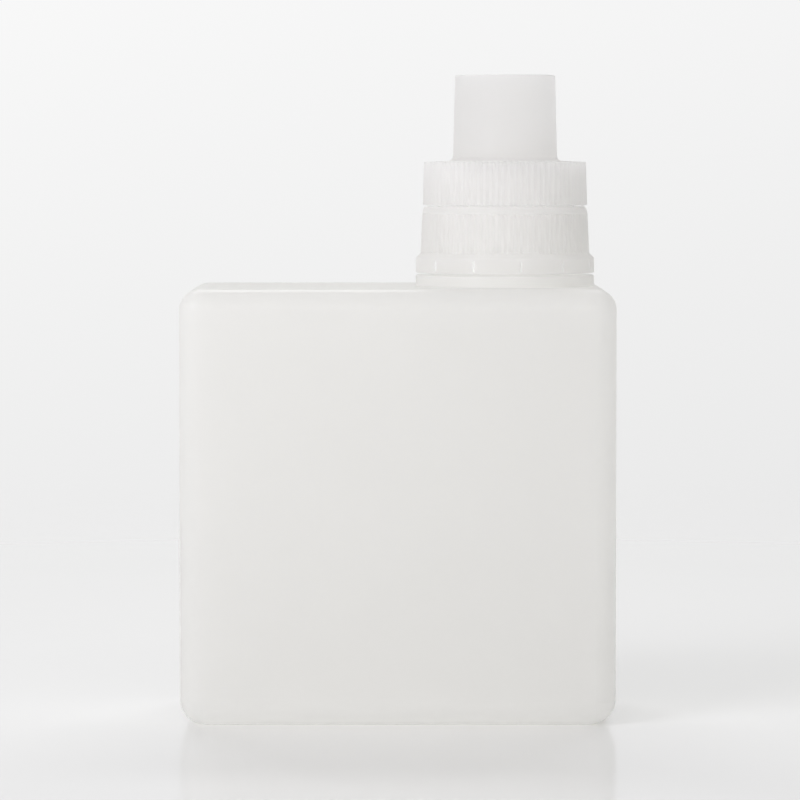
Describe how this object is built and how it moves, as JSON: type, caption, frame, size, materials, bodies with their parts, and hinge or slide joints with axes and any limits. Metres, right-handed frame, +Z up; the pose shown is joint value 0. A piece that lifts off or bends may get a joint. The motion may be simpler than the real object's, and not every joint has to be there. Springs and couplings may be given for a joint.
{
  "type": "refill bottle",
  "caption": "Hollow flat-sided plastic bottle with an off-centre neck, a ribbed screw-on pouring collar with a drain-back spout, and a ribbed measuring cap.",
  "frame": {"origin": "under the middle of the base, on the surface that the bottle stands on", "axes": "+Z up along the neck, X along the wide front with the neck near +X, front face towards -Y"},
  "size_m": [0.12, 0.07, 0.1788],
  "materials": {
    "bottle_hdpe": "milky blow-moulded HDPE, soft satin",
    "closure_pp": "translucent natural injection-moulded PP, satin"
  },
  "bodies": {
    "bottle": {"bottle": "bottle_hdpe"},
    "collar": {"spout_collar": "closure_pp"},
    "cap": {"measuring_cap": "closure_pp"}
  },
  "joints": [
    {"name": "collar_lift", "type": "slide", "parent": "bottle", "child": "collar", "axis": [0, 0, 1], "range_m": [0, 0.022]},
    {"name": "cap_lift", "type": "slide", "parent": "collar", "child": "cap", "axis": [0, 0, 1], "range_m": [0, 0.03]}
  ]
}
